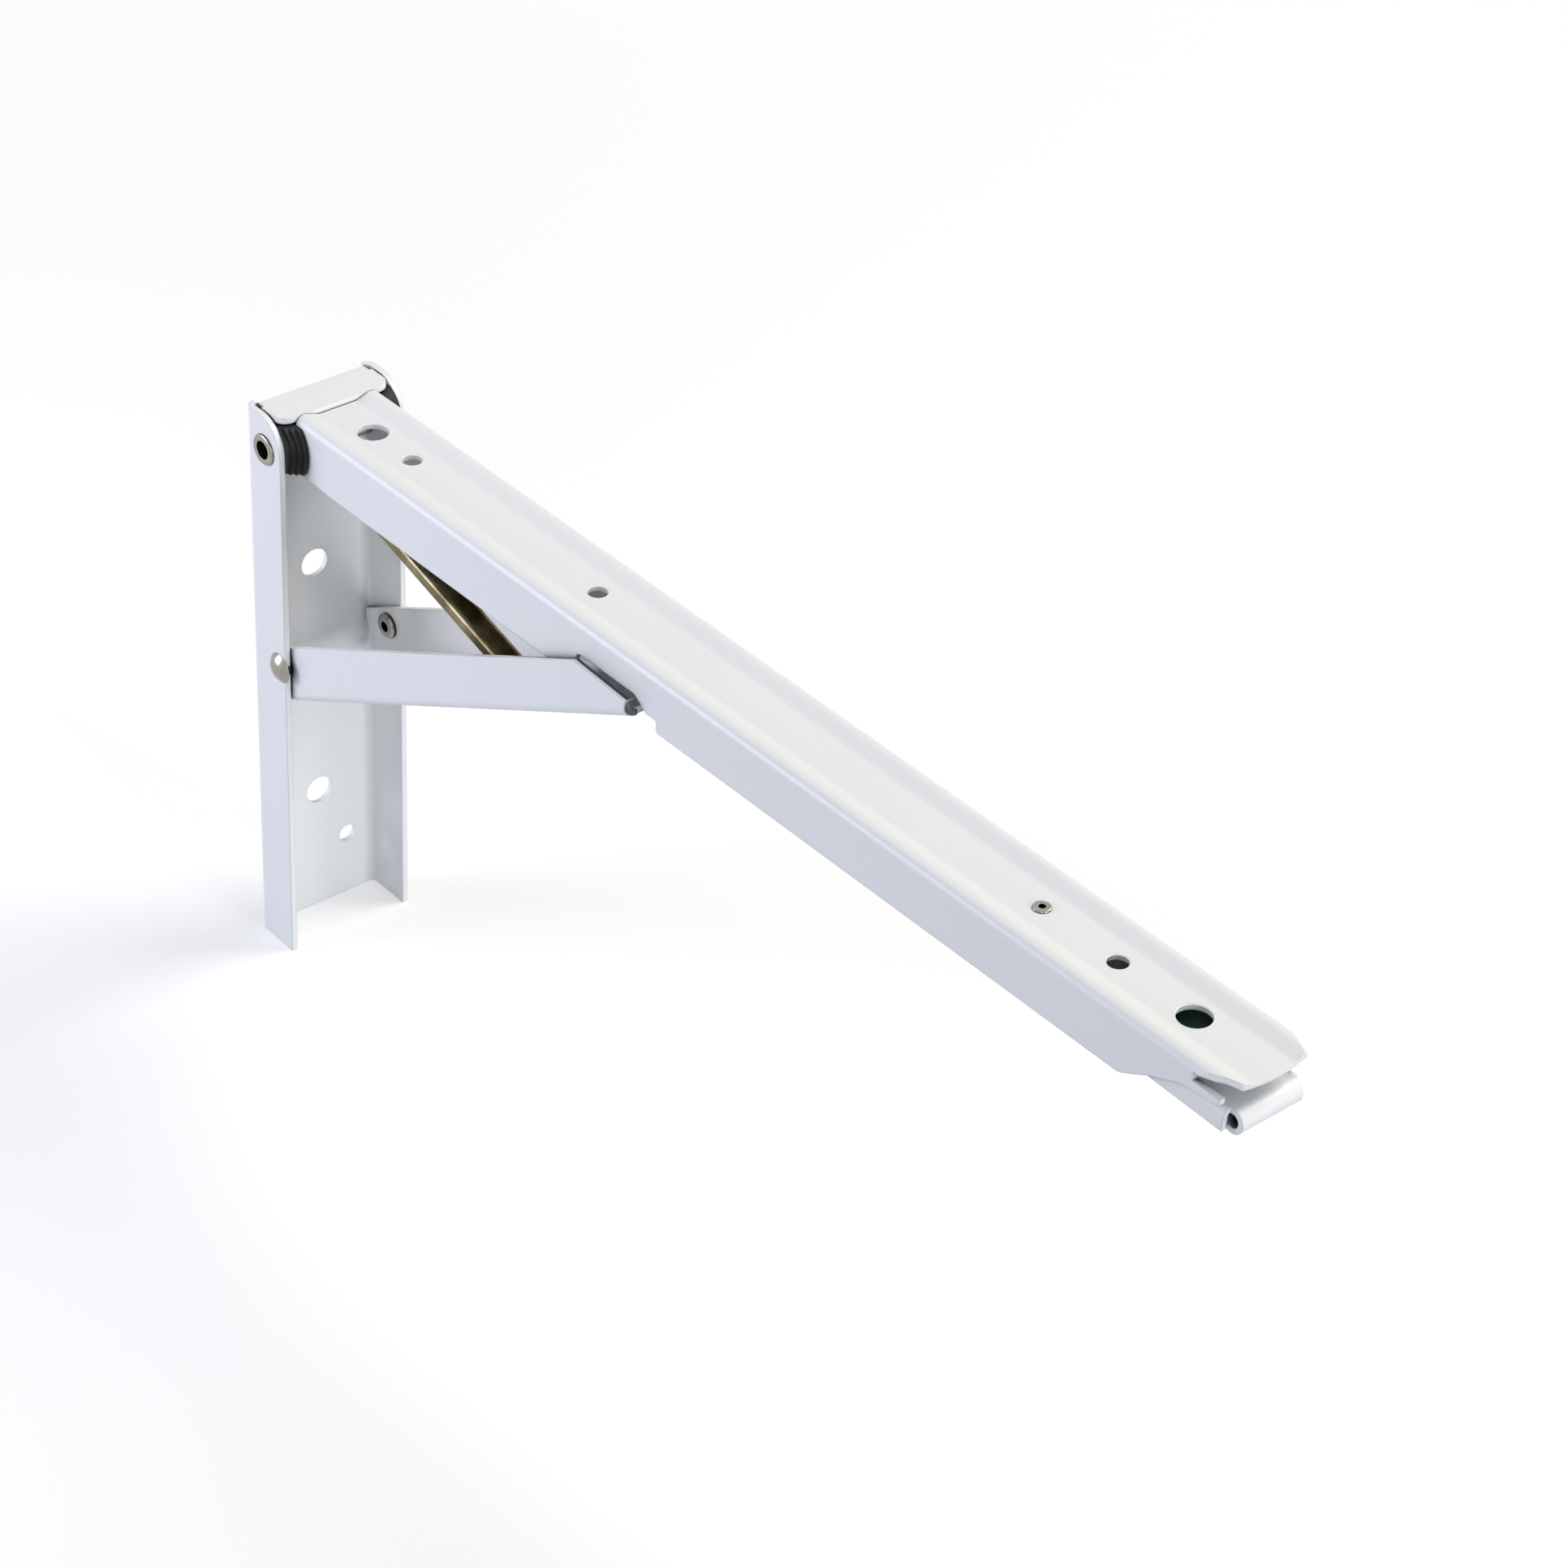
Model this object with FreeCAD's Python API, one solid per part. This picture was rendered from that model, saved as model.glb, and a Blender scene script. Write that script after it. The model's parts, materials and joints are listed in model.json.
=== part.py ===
import FreeCAD, Part
import math
import os

# Drop leaf bracket, in millimetres. X runs out from the wall along the arm, Y across the width, Z up.
# The sizes called drops are measured down from the top of the wall plate. The finished pieces are
# raised, so that the origin is on the wall, midway between the plate's two large screw holes.

# Sheet shared by the folded pieces
sheet = 1.4
bend_radius = 2.4

# Wall plate
plate_width = 33.5
plate_height = 143.4
plate_depth = 13.4
ear_radius = 8.0
tab_length = 11.3
tab_corner = 3.0
tab_gap = 0.6
wall_hole = 7.4
wall_hole_drops = (46.9, 110.4)
wall_small_hole_side = 7.8
wall_small_hole_drop = 126.4
screw_hole = 4.8

# Main hinge
hinge_out = 7.5
hinge_drop = 8.2
hinge_pin = 6.0
hinge_pin_bore = 4.4
hinge_lip = 7.4
hinge_lip_height = 0.6

# Spacers on the main hinge, stepped down from the arm to the ear
spacer_radius = 9.2
spacer_step = 0.75
spacer_layers = 4
spacer_below = 4.4

# Support arm
arm_reach = 300.6
arm_width = 22.3
arm_rear_depth = 14.3
arm_front_depth = 13.2
arm_ear_radius = 5.6
arm_rear_gap = 0.4
arm_bend_radius = 2.2
arm_corner = 0.8
arm_blend = 4.0
top_recess = 1.2
dish_radius = 2.8
floor_width = 10.2
crest_width = 16.6
big_hole_from_wall = 25.0
small_holes_from_wall = (39.5, 104.5)
big_hole_from_tip = 21.1
small_hole_from_tip = 41.1

# Tip of the arm, measured back from its end
tongue_width = 15.6
tongue_chamfer = 8.0
tongue_bow = 1.1
fold_end = 10.2
finger_back = 3.2
finger_top = 3.5
finger_bottom = 5.2
finger_fall = 0.7
tip_slot_drop = 1.7
lever_window_start = 27.8
lever_window_depth = 9.3
lever_window_run = 7.1
finger_root = 12.9

# Brace
brace_angle = 27.2
brace_pivot_drop = 63.8
brace_above = 4.2
brace_top_fall = 1.1
brace_below = 9.2
brace_reach = 132.2
brace_end_height = 3.9
brace_chamfer = 30.2
brace_web_start = 12.0
brace_web_short = 2.0
brace_lip = 2.5
brace_lip_radius = 1.0

# Notch in the arm's sides for the end of the brace
notch_roof = 7.7
notch_length = 21.0
notch_front_gap = 1.4
notch_seat_run = 3.6
notch_rear_run = 2.0
notch_lip_drop = 10.4
notch_lip_length = 3.4

# Brace rivets
rivet_shank = 4.6
rivet_head = 7.4
rivet_head_height = 1.7
rivet_roll = 6.2
rivet_roll_height = 1.1
rivet_hollow = 2.6
rivet_hollow_depth = 2.6

# Stay link
link_angle = 16.0
link_side = 4.9
link_width = 6.0
link_height = 3.4
link_sheet = 1.0
link_ear_radius = 4.5
link_ear_run = 12.0
link_ear_blend = 2.0
link_corner = 0.8

# Release lever
lever_sheet = 1.2
lever_pivot_from_tip = 61.6
lever_pivot_drop = 7.6
lever_web_drop = 5.5
lever_tilt = 1.3
lever_flange = 4.8
lever_ear = 3.4
lever_over_brace = 3.4
lever_rear_width = 12.0
lever_corner = 2.0
lever_flange_start = 20.0
lever_flange_end = 58.3
lever_window = 8.0
curl_radius = 2.7
curl_width = 15.4
curl_centre = 59.0
curl_opening = 25.0
lever_pin = 4.0
pad_length = 14.0
pad_width = 15.0
pad_thickness = 0.9
pad_corner = 2.0
pad_back = 1.5

# Lever bracket, eyelet and spring
bracket_sheet = 1.0
bracket_width = 10.0
bracket_length = 9.0
bracket_below_pin = 2.8
eyelet_outer = 2.4
eyelet_bore = 1.5
eyelet_lip = 3.8
eyelet_lip_height = 0.4
spring_ahead = 27.0
spring_wire = 0.7
spring_radius = 3.1
spring_turns = 2.75

# Clearances
pin_clearance = 0.08
brace_side_gap = 0.5
brace_arm_gap = 1.45
brace_wall_gap = 0.7
rivet_play = 0.15
spacer_gap = 0.2
spacer_edge_gap = 0.4
lever_side_gap = 0.3
link_rest_gap = 0.4
seat_gap = 0.05

# Places worked out from the sizes above
origin_drop = sum(wall_hole_drops) / 2
hinge = FreeCAD.Vector(hinge_out, 0, -hinge_drop)
brace_pivot_x = sheet + brace_wall_gap + brace_below
brace_pivot = FreeCAD.Vector(brace_pivot_x, 0, -brace_pivot_drop)
plate_inner = plate_width / 2 - sheet
arm_outer = arm_width / 2
arm_inner = arm_outer - sheet
floor_under = top_recess + sheet
arm_rear = tab_length + arm_rear_gap
brace_rear_half = plate_inner - brace_side_gap
brace_end_half = arm_outer + brace_arm_gap + sheet
lever_pivot_x = arm_reach - lever_pivot_from_tip
lever_pivot = FreeCAD.Vector(lever_pivot_x, 0, -lever_pivot_drop)
lever_half = arm_inner - lever_side_gap
link_near = -link_side - link_width / 2
link_far = -link_side + link_width / 2

along_x = FreeCAD.Vector(1, 0, 0)
along_y = FreeCAD.Vector(0, 1, 0)
along_z = FreeCAD.Vector(0, 0, 1)


def side_point(x, z):
    """A point of a side view, in the middle plane."""
    return FreeCAD.Vector(x, 0, z)


def rounded_path(points, radii):
    """Edges along a row of points, with each inner corner rounded by its radius."""
    edges = []
    start = points[0]
    for before, corner, after, radius in zip(points, points[1:], points[2:], radii):
        if radius == 0:
            edges.append(Part.LineSegment(start, corner).toShape())
            start = corner
            continue
        back = (before - corner).normalize()
        ahead = (after - corner).normalize()
        half = back.getAngle(ahead) / 2
        reach = radius / math.tan(half)
        first = corner + back * reach
        last = corner + ahead * reach
        middle = corner + (back + ahead).normalize() * (radius / math.sin(half) - radius)
        edges.append(Part.LineSegment(start, first).toShape())
        edges.append(Part.Arc(first, middle, last).toShape())
        start = last
    edges.append(Part.LineSegment(start, points[-1]).toShape())
    return edges


def rounded_face(points, radii):
    """A flat face inside a closed outline, with its corners rounded."""
    middle = (points[0] + points[-1]) * 0.5
    edges = rounded_path([middle] + points + [middle], radii)
    return Part.Face(Part.Wire(Part.__sortEdges__(edges)))


def sheet_face(points, radii, thickness, axis):
    """The section of a folded sheet: its outer line, and the inner line one thickness to the left."""
    directions = [(b - a).normalize() for a, b in zip(points, points[1:])]
    normals = [axis.cross(direction) for direction in directions]
    inner = [points[0] + normals[0] * thickness]
    inner_radii = []
    for i, radius in enumerate(radii):
        first, second = normals[i], normals[i + 1]
        share = thickness / (1 + first.dot(second))
        inner.append(points[i + 1] + (first + second) * share)
        inward = (directions[i + 1] - directions[i]).dot(first) > 0
        inner_radii.append(radius - thickness if inward else radius + thickness)
    inner.append(points[-1] + normals[-1] * thickness)
    edges = rounded_path(points, radii) + rounded_path(inner, inner_radii)
    edges.append(Part.LineSegment(points[0], inner[0]).toShape())
    edges.append(Part.LineSegment(points[-1], inner[-1]).toShape())
    return Part.Face(Part.Wire(Part.__sortEdges__(edges)))


def across(face, from_y, to_y):
    """A side-view face made solid between two places across the width."""
    moved = face.translated(along_y * from_y)
    return moved.extrude(along_y * (to_y - from_y))


def box(x, y, z):
    """A block between the two ends given along each axis."""
    corner = FreeCAD.Vector(x[0], y[0], z[0])
    return Part.makeBox(x[1] - x[0], y[1] - y[0], z[1] - z[0], corner)


def rod(diameter, centre, from_y, to_y):
    """A round bar across the width, about a point of the side view."""
    base = FreeCAD.Vector(centre.x, from_y, centre.z)
    return Part.makeCylinder(diameter / 2, to_y - from_y, base, along_y)


def drill(diameter, centre, direction, length):
    """A round hole through a sheet, centred on a point."""
    return Part.makeCylinder(diameter / 2, length, centre - direction * (length / 2), direction)


def mirrored(shape):
    """The same shape on the far side of the middle plane."""
    return shape.mirror(FreeCAD.Vector(0, 0, 0), along_y)


def make_wall_plate():
    half = plate_width / 2
    outline = [FreeCAD.Vector(plate_depth, half, 0), FreeCAD.Vector(0, half, 0),
               FreeCAD.Vector(0, -half, 0), FreeCAD.Vector(plate_depth, -half, 0)]
    section = sheet_face(outline, [bend_radius, bend_radius], sheet, along_z)
    plate = section.extrude(along_z * -plate_height)

    # The ears are rounded at the front, and the web is parted from them where it folds over as a tab.
    corner = rounded_face([side_point(-1, 0), side_point(plate_depth, 0),
                           side_point(plate_depth, -plate_height), side_point(-1, -plate_height)],
                          [0, ear_radius, 0, 0])
    plate = plate.common(across(corner, -half, half))
    neck = half - bend_radius - tab_gap / 2
    slit = half - bend_radius + tab_gap / 2
    plate = plate.cut(box((-1, sheet), (-slit, slit), (-bend_radius - sheet, 1)))

    fold = sheet_face([side_point(0, -bend_radius - sheet), side_point(0, 0), side_point(tab_length, 0)],
                      [bend_radius], sheet, along_y)
    tab = across(fold, -neck, neck)
    tab_half = plate_inner - tab_gap
    fold_over = bend_radius + sheet
    lid = [FreeCAD.Vector(fold_over, -tab_half, -sheet), FreeCAD.Vector(tab_length, -tab_half, -sheet),
           FreeCAD.Vector(tab_length, tab_half, -sheet), FreeCAD.Vector(fold_over, tab_half, -sheet)]
    tab = tab.common(box((-1, bend_radius + 2 * sheet), (-half, half), (-plate_height, 1)))
    tab = tab.fuse(rounded_face(lid, [0, tab_corner, tab_corner, 0]).extrude(along_z * sheet))
    plate = plate.fuse(tab).removeSplitter()

    for drop in wall_hole_drops:
        plate = plate.cut(drill(wall_hole, FreeCAD.Vector(0, 0, -drop), along_x, 4 * sheet))
    small = FreeCAD.Vector(0, wall_small_hole_side, -wall_small_hole_drop)
    plate = plate.cut(drill(screw_hole, small, along_x, 4 * sheet))
    plate = plate.cut(rod(hinge_pin + 2 * seat_gap, hinge, -half - 1, half + 1))
    return plate.cut(rod(rivet_shank + 2 * seat_gap, brace_pivot, -half - 1, half + 1))


def make_hinge_pin():
    half = plate_width / 2
    pin = rod(hinge_pin, hinge, -half, half)
    for side in (-1, 1):
        outer = FreeCAD.Vector(hinge.x, side * half, hinge.z)
        lip = Part.makeCylinder(hinge_lip / 2, hinge_lip_height, outer, along_y * side)
        rim = [edge for edge in lip.Edges
               if abs(edge.CenterOfMass.y) > half + hinge_lip_height / 2 and edge.Closed]
        pin = pin.fuse(lip.makeFillet(hinge_lip_height * 0.8, rim))
    bore = rod(hinge_pin_bore, hinge, -half - hinge_lip_height, half + hinge_lip_height)
    return pin.cut(bore).removeSplitter()


def make_hinge_spacer(side):
    """A moulded block between an ear and the arm, flat behind and below, with a stepped round front."""
    rear = bend_radius + spacer_edge_gap
    top = -sheet - spacer_edge_gap
    bottom = hinge.z - spacer_below
    start = arm_outer + spacer_gap
    layer = (plate_inner - start) / spacer_layers
    block = rod(2 * spacer_radius, hinge, start, start + layer)
    for step in range(1, spacer_layers):
        radius = spacer_radius - step * spacer_step
        block = block.fuse(rod(2 * radius, hinge, start + step * layer, start + (step + 1) * layer))
    block = block.common(box((rear, hinge_out + spacer_radius), (start, plate_inner), (bottom, top)))
    block = block.cut(rod(hinge_pin + 2 * pin_clearance, hinge, 0, plate_width)).removeSplitter()
    return mirrored(block) if side < 0 else block


def make_brace_rivet(side):
    """A semi-tubular rivet: a domed head outside the plate and a rolled end inside the brace."""
    outer = plate_width / 2
    seat = brace_rear_half - sheet
    head_sphere = (rivet_head ** 2 / 4 + rivet_head_height ** 2) / (2 * rivet_head_height)
    centre = FreeCAD.Vector(brace_pivot.x, outer + rivet_head_height - head_sphere, brace_pivot.z)
    dome = Part.makeSphere(head_sphere, centre)
    dome = dome.common(rod(2 * rivet_head, brace_pivot, outer, outer + rivet_head_height + 1))
    roll_start = FreeCAD.Vector(brace_pivot.x, seat - rivet_roll_height - rivet_play, brace_pivot.z)
    roll = Part.makeCylinder(rivet_roll / 2, rivet_roll_height, roll_start, along_y)
    rim = [edge for edge in roll.Edges if edge.Closed and edge.CenterOfMass.y < roll_start.y + seat_gap]
    roll = roll.makeFillet(rivet_roll_height * 0.7, rim)
    rivet = dome.fuse(roll).fuse(rod(rivet_shank, brace_pivot, roll_start.y, outer))
    hollow = rod(rivet_hollow, brace_pivot, roll_start.y - 1, roll_start.y + rivet_hollow_depth)
    rivet = rivet.cut(hollow).removeSplitter()
    return mirrored(rivet) if side < 0 else rivet


def brace_point(along, above):
    """A point of the brace's side view at rest, from its pivot along and across its own line."""
    angle = math.radians(brace_angle)
    x = brace_pivot.x + along * math.cos(angle) - above * math.sin(angle)
    z = brace_pivot.z + along * math.sin(angle) + above * math.cos(angle)
    return side_point(x, z)


def brace_taper(rear_half, end_half, below, above):
    """A long wedge that follows the brace's width from its pivot to its end."""
    slope = (end_half - rear_half) / brace_reach
    first, last = -2 * brace_below, brace_reach + 2 * brace_below
    corners = []
    for along, side in ((first, -1), (last, -1), (last, 1), (first, 1)):
        corners.append(FreeCAD.Vector(along, side * (rear_half + slope * along), below))
    wedge = Part.Face(Part.makePolygon(corners + corners[:1])).extrude(along_z * (above - below))
    wedge.rotate(FreeCAD.Vector(0, 0, 0), along_y, -brace_angle)
    return wedge.translated(brace_pivot)


def long_edges(shape, level):
    """The two lengthwise edges of a brace wedge at one level."""
    angle = math.radians(brace_angle)
    found = []
    for edge in shape.Edges:
        middle = edge.CenterOfMass - brace_pivot
        above = middle.z * math.cos(angle) - middle.x * math.sin(angle)
        if abs(above - level) < 0.01 and edge.Length > brace_reach:
            found.append(edge)
    return found


def make_brace():
    end_top = brace_end_height - brace_below
    chamfer_top = brace_above - brace_top_fall
    chamfer_run = (chamfer_top - end_top) / math.tan(math.radians(brace_chamfer))
    heel = math.sqrt(brace_below ** 2 - brace_above ** 2)
    rear = Part.Arc(brace_point(-heel, brace_above), brace_point(-brace_below * 0.8, -brace_below * 0.6),
                    brace_point(0, -brace_below)).toShape()
    corners = [brace_point(0, -brace_below), brace_point(brace_reach, -brace_below),
               brace_point(brace_reach, end_top), brace_point(brace_reach - chamfer_run, chamfer_top),
               brace_point(-heel, brace_above)]
    lines = [Part.LineSegment(a, b).toShape() for a, b in zip(corners, corners[1:])]
    outline = Part.Face(Part.Wire(Part.__sortEdges__(lines + [rear])))

    outer = brace_taper(brace_rear_half, brace_end_half, -brace_below, brace_above + 1)
    outer = outer.makeFillet(bend_radius, long_edges(outer, -brace_below))
    inner = brace_taper(brace_rear_half - sheet, brace_end_half - sheet, sheet - brace_below, brace_above + 2)
    inner = inner.makeFillet(bend_radius - sheet, long_edges(inner, sheet - brace_below))
    brace = outer.cut(inner).common(across(outline, -plate_width, plate_width))

    # Near the pivot the web is left out, so that the arm's sides can lie against the plate.
    open_rear = rounded_face([brace_point(-2 * brace_below, -2 * brace_below),
                              brace_point(brace_web_start, -2 * brace_below),
                              brace_point(brace_web_start, sheet - brace_below + bend_radius),
                              brace_point(-2 * brace_below, sheet - brace_below + bend_radius)], [0, 0, 0, 0])
    window = brace_rear_half - bend_radius
    brace = brace.cut(across(open_rear, -window, window))

    # At the far end the web stops short, and each side is folded in as a lip beside the arm.
    open_end = [brace_point(brace_reach - brace_web_short, -2 * brace_below),
                brace_point(2 * brace_reach, -2 * brace_below),
                brace_point(2 * brace_reach, sheet - brace_below + bend_radius),
                brace_point(brace_reach - brace_web_short, sheet - brace_below + bend_radius)]
    window = brace_end_half - bend_radius
    brace = brace.cut(across(rounded_face(open_end, [0, 0, 0, 0]), -window, window))
    lip_low = bend_radius - brace_below
    lip_side = [brace_point(brace_reach - sheet, lip_low), brace_point(brace_reach, lip_low),
                brace_point(brace_reach, end_top), brace_point(brace_reach - sheet, end_top)]
    lip = across(rounded_face(lip_side, [0, 0, 0, 0]), brace_end_half - brace_lip, brace_end_half - sheet / 2)
    brace = brace.fuse(lip).fuse(mirrored(lip)).removeSplitter()
    ends = []
    for edge in brace.Edges:
        middle = edge.CenterOfMass
        at_end = (middle - brace_point(brace_reach, 0)).dot(brace_point(1, 0) - brace_point(0, 0))
        upright = abs(edge.BoundBox.YLength) < sheet / 2 and edge.BoundBox.ZLength > sheet / 2
        if abs(at_end) < 0.01 and upright and abs(middle.y) > brace_end_half - sheet / 2:
            ends.append(edge)
    brace = brace.makeFillet(brace_lip_radius, ends)
    hole = rivet_shank + 2 * pin_clearance
    return brace.cut(rod(hole, brace_pivot, -plate_width, plate_width)).removeSplitter()


def arm_section():
    """The arm's dished section, seen along its length."""
    edge, crest, floor = arm_outer, crest_width / 2, floor_width / 2
    left = [(-edge, -arm_rear_depth), (-edge, 0), (-crest, 0), (-floor, -top_recess)]
    right = [(-y, z) for y, z in reversed(left)]
    points = [FreeCAD.Vector(0, y, z) for y, z in left + right]
    radii = [arm_bend_radius, dish_radius, dish_radius, dish_radius, dish_radius, arm_bend_radius]
    return sheet_face(points[::-1], radii, sheet, along_x)


def arm_side():
    """The arm's outline from the side: hinge ear, notch for the brace, and the stepped tip."""
    seat = brace_point(brace_reach, sheet - brace_below)
    notch_front = seat.x - notch_front_gap
    lip_start = notch_front + notch_seat_run
    step = lip_start + notch_lip_length
    ear_bottom = -hinge_drop - arm_ear_radius
    ear_top = -hinge_drop + arm_ear_radius
    ear_rear = hinge_out - arm_ear_radius
    ear_round = 0.99 * arm_ear_radius
    window = arm_reach - lever_window_start
    finger_end = arm_reach - finger_back
    tip_split = -(tip_slot_drop + finger_top) / 2
    corners = [
        (arm_rear, 1, 0), (arm_reach + 1, 1, 0), (arm_reach + 1, tip_split, 0),
        (finger_end, tip_split, 0), (finger_end, -finger_bottom, arm_corner),
        (arm_reach - finger_root, -finger_bottom - finger_fall, arm_blend),
        (window + lever_window_run, -lever_window_depth, arm_blend), (window, -arm_front_depth, arm_blend),
        (step, -arm_front_depth, arm_corner), (step, -notch_lip_drop, arm_corner / 2),
        (lip_start, -notch_lip_drop, arm_corner), (notch_front, -notch_roof, arm_blend / 2),
        (notch_front - notch_length + notch_rear_run, -notch_roof, arm_blend / 2),
        (notch_front - notch_length, -arm_rear_depth, arm_corner),
        (hinge_out + 2 * hinge_drop, -arm_rear_depth, arm_blend),
        (hinge_out + hinge_drop, ear_bottom, arm_blend),
        (ear_rear, ear_bottom, ear_round), (ear_rear, ear_top, ear_round),
        (arm_rear, ear_top, arm_corner)]
    return rounded_face([side_point(x, z) for x, z, _ in corners], [radius for _, _, radius in corners])


def make_support_arm():
    arm = arm_section().extrude(along_x * (arm_reach + 1)).common(across(arm_side(), -arm_width, arm_width))

    # Past the fold's end the top runs on alone as a chamfered tongue over a slot.
    slot = (arm_reach - fold_end, arm_reach + 2)
    arm = arm.cut(box(slot, (-arm_width, arm_width), (-finger_top, -tip_slot_drop)))
    tip = arm_reach - tongue_bow
    half = tongue_width / 2
    corners = [FreeCAD.Vector(tip, half, 0), FreeCAD.Vector(tip - tongue_chamfer, arm_outer, 0),
               FreeCAD.Vector(tip - tongue_chamfer, -arm_outer, 0), FreeCAD.Vector(tip, -half, 0)]
    bow = Part.Arc(corners[-1], FreeCAD.Vector(arm_reach, 0, 0), corners[0])
    lines = [Part.LineSegment(a, b).toShape() for a, b in zip(corners, corners[1:])]
    tongue = Part.Face(Part.Wire(Part.__sortEdges__(lines + [bow.toShape()])))
    waste = box((tip - tongue_chamfer, arm_reach + 2), (-arm_width, arm_width), (-tip_slot_drop - sheet, 1))
    waste = waste.cut(tongue.translated(along_z * -4 * sheet).extrude(along_z * 8 * sheet))
    arm = arm.cut(waste)

    for place in (big_hole_from_wall, arm_reach - big_hole_from_tip):
        arm = arm.cut(drill(wall_hole, FreeCAD.Vector(place, 0, 0), along_z, 6 * sheet))
    for place in small_holes_from_wall + (arm_reach - small_hole_from_tip,):
        arm = arm.cut(drill(screw_hole, FreeCAD.Vector(place, 0, 0), along_z, 6 * sheet))
    arm = arm.cut(drill(eyelet_outer + 2 * seat_gap, FreeCAD.Vector(lever_pivot_x, 0, 0), along_z, 6 * sheet))
    return arm.cut(rod(hinge_pin + 2 * pin_clearance, hinge, -arm_width, arm_width)).removeSplitter()


def link_length():
    """How far the link reaches from the hinge before its end rests on the brace's web."""
    link = math.radians(link_angle)
    brace = math.radians(brace_angle)
    normal = FreeCAD.Vector(-math.sin(brace), 0, math.cos(brace))
    along = FreeCAD.Vector(math.cos(link), 0, -math.sin(link))
    down = FreeCAD.Vector(-math.sin(link), 0, -math.cos(link)) * (link_height / 2)
    target = sheet - brace_below + link_rest_gap
    start = (hinge - brace_pivot + down).dot(normal)
    return (target - start) / along.dot(normal)


def make_stay_link():
    """A slim channel, open upwards, made level along X and then turned down about the hinge."""
    length = link_length()
    half = link_height / 2
    ear = link_ear_radius
    ear_round = 0.99 * ear
    upper = [(-ear, ear, ear_round), (ear, ear, link_ear_blend), (link_ear_run, half, 2 * link_ear_blend),
             (length, half, link_corner)]
    corners = upper + [(x, -z, radius) for x, z, radius in reversed(upper)]
    sides = rounded_face([side_point(x, z) for x, z, _ in corners], [radius for _, _, radius in corners])
    link = across(sides, link_near, link_far)
    hollow = box((-2 * link_ear_radius, length + 1), (link_near + link_sheet, link_far - link_sheet),
                 (link_sheet - half, link_ear_radius + 1))
    throat = box((-2 * link_ear_radius, link_ear_run), (link_near + link_sheet, link_far - link_sheet),
                 (-link_ear_radius - 1, link_ear_radius + 1))
    link = link.cut(hollow).cut(throat)
    bends = [edge for edge in link.Edges if edge.Length > length / 2
             and abs(edge.CenterOfMass.z + half) < 0.01
             and min(abs(edge.CenterOfMass.y - link_near), abs(edge.CenterOfMass.y - link_far)) < 0.01]
    link = link.makeFillet(link_sheet * 0.9, bends)
    link = link.cut(rod(hinge_pin + 2 * pin_clearance, side_point(0, 0), -plate_width, plate_width))
    link.rotate(FreeCAD.Vector(0, 0, 0), along_y, link_angle)
    return link.translated(hinge)


def make_link_collar(from_y, to_y):
    """A plain collar on the main pin beside the stay link."""
    collar = rod(hinge_pin + 2 * sheet, hinge, from_y, to_y)
    return collar.cut(rod(hinge_pin + 2 * pin_clearance, hinge, from_y - 1, to_y + 1))


def make_release_lever():
    """A rocking channel inside the arm, made level about its pin and then tilted to its rest."""
    top = lever_pivot_drop - lever_web_drop
    low = top - lever_flange
    rear_width = lever_rear_width / 2
    rear_reach = lever_pivot_x - brace_point(brace_reach, sheet - brace_below).x + lever_over_brace
    centre = side_point(curl_centre, top - curl_radius)
    channel = sheet_face([FreeCAD.Vector(0, lever_half, low), FreeCAD.Vector(0, lever_half, top),
                          FreeCAD.Vector(0, -lever_half, top), FreeCAD.Vector(0, -lever_half, low)],
                         [1.5 * lever_sheet, 1.5 * lever_sheet], lever_sheet, along_x)
    lever = channel.translated(along_x * -lever_flange_start)
    lever = lever.extrude(along_x * (lever_flange_start + lever_flange_end))
    ears = Part.makeCylinder(lever_ear, 2 * lever_half, FreeCAD.Vector(0, -lever_half, 0), along_y)
    ears = ears.cut(box((-2 * lever_ear, 2 * lever_ear), (lever_sheet - lever_half, lever_half - lever_sheet),
                        (-2 * lever_ear, 2 * lever_ear)))
    ears = ears.common(box((-2 * lever_ear, 2 * lever_ear), (-lever_half, lever_half), (-2 * lever_ear, 0)))
    lever = lever.fuse(ears)
    inside = lever_half - lever_sheet
    lever = lever.cut(box((-lever_window, lever_window), (-inside, inside), (-2 * lever_ear, top + 1)))

    tail = [FreeCAD.Vector(-rear_reach, -rear_width, top - lever_sheet),
            FreeCAD.Vector(-lever_flange_start, -rear_width, top - lever_sheet),
            FreeCAD.Vector(-lever_flange_start, rear_width, top - lever_sheet),
            FreeCAD.Vector(-rear_reach, rear_width, top - lever_sheet)]
    lever = lever.fuse(rounded_face(tail, [lever_corner, 0, 0, lever_corner]).extrude(along_z * lever_sheet))

    lip = box((lever_flange_end, centre.x), (-curl_width / 2, curl_width / 2), (top - lever_sheet, top))
    curl = rod(2 * curl_radius, centre, -curl_width / 2, curl_width / 2)
    curl = curl.cut(rod(2 * (curl_radius - lever_sheet), centre, -curl_width, curl_width))
    gap = math.radians(curl_opening)
    behind = centre + side_point(-2 * curl_radius, 0)
    corner = behind + along_z * (curl_radius * math.tan(gap))
    opening = Part.Face(Part.makePolygon([centre, behind, corner, centre]))
    curl = curl.cut(across(opening, -curl_width, curl_width))
    lever = lever.fuse(lip).fuse(curl)
    lever = lever.cut(rod(lever_pin + 2 * pin_clearance, side_point(0, 0), -arm_width, arm_width))
    lever = lever.removeSplitter()
    lever.rotate(FreeCAD.Vector(0, 0, 0), along_y, lever_tilt)
    return lever.translated(lever_pivot)


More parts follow.
